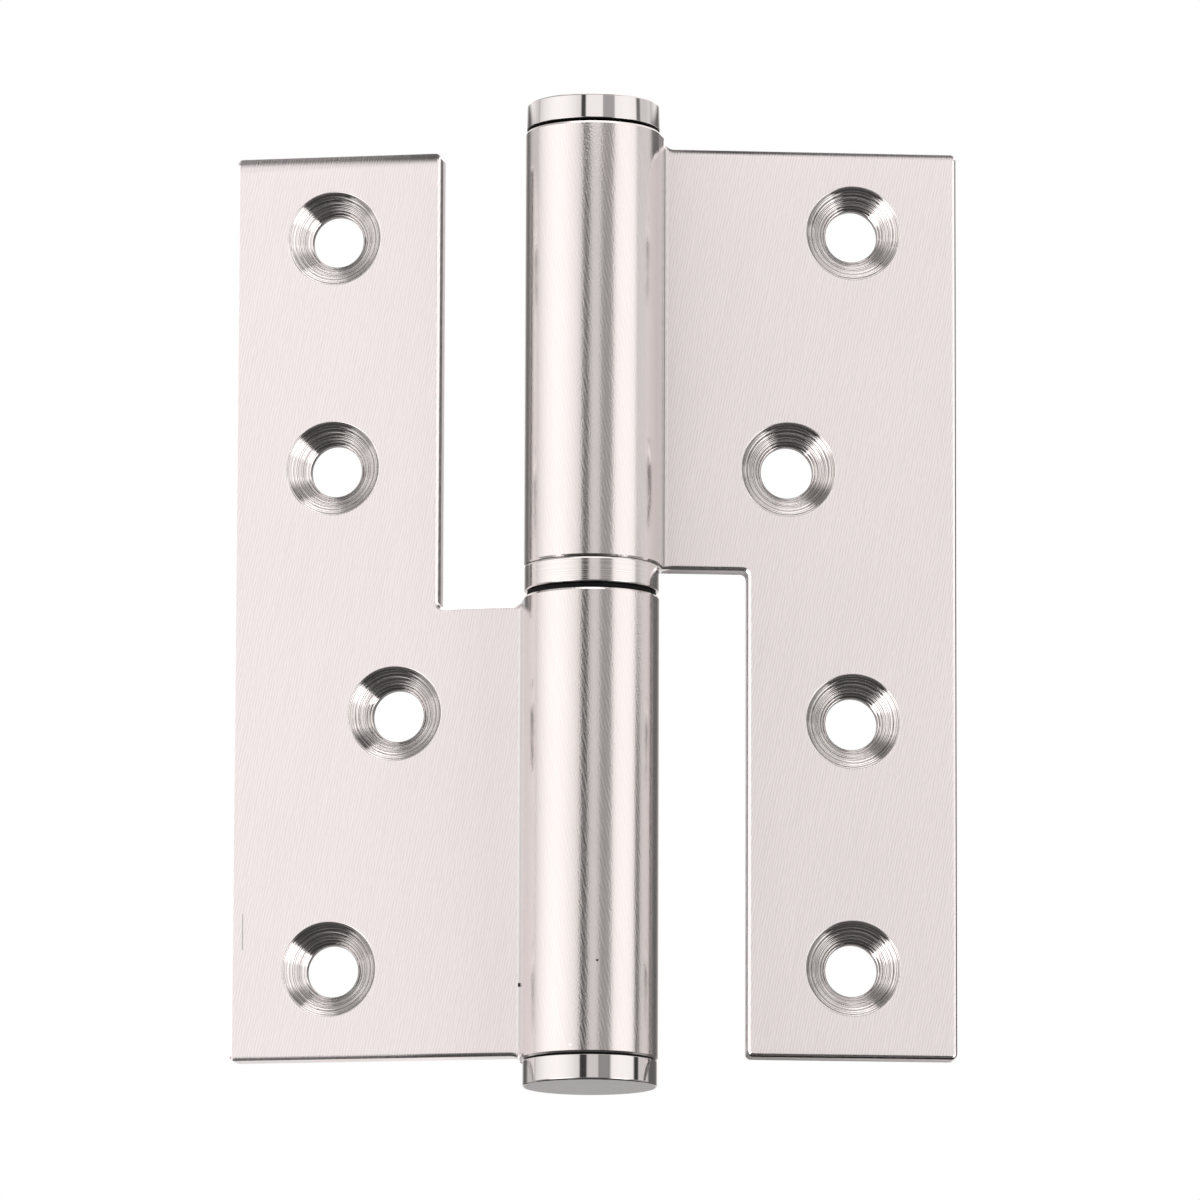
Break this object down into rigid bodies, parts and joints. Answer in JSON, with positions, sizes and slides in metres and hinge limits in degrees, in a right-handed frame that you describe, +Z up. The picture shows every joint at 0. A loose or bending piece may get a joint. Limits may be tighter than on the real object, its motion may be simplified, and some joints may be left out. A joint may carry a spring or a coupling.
{
  "type": "lift-off hinge",
  "caption": "Stainless lift-off door hinge: two flag-shaped leaves with rolled knuckles, countersunk holes, a bearing ring between the knuckles and polished end caps.",
  "frame": {"origin": "on the pin axis at half the height of the leaves", "axes": "+Z up the pin axis, the lower leaf along -X with its countersunk face towards -Y"},
  "size_m": [0.0996, 0.0269, 0.1373],
  "materials": {
    "satin_steel": "fine satin brushed stainless steel",
    "cap_polish": "mirror polished",
    "ring_steel": "turned and polished",
    "pin_steel": "ground",
    "washer_nylon": "black, greased"
  },
  "bodies": {
    "lower_leaf": {"lower_leaf": "satin_steel", "hinge_pin": "pin_steel", "bottom_cap": "cap_polish", "thrust_washer": "washer_nylon"},
    "bearing_ring": {"bearing_ring": "ring_steel"},
    "upper_leaf": {"upper_leaf": "satin_steel", "top_cap": "cap_polish"}
  },
  "joints": [
    {"name": "swing", "type": "hinge", "parent": "lower_leaf", "child": "bearing_ring", "pos_m": [0, 0, 0], "axis": [0, 0, 1], "range_deg": [-194.5, 135]},
    {"name": "lift_off", "type": "slide", "parent": "bearing_ring", "child": "upper_leaf", "axis": [0, 0, 1], "range_m": [0, 0.05]}
  ]
}
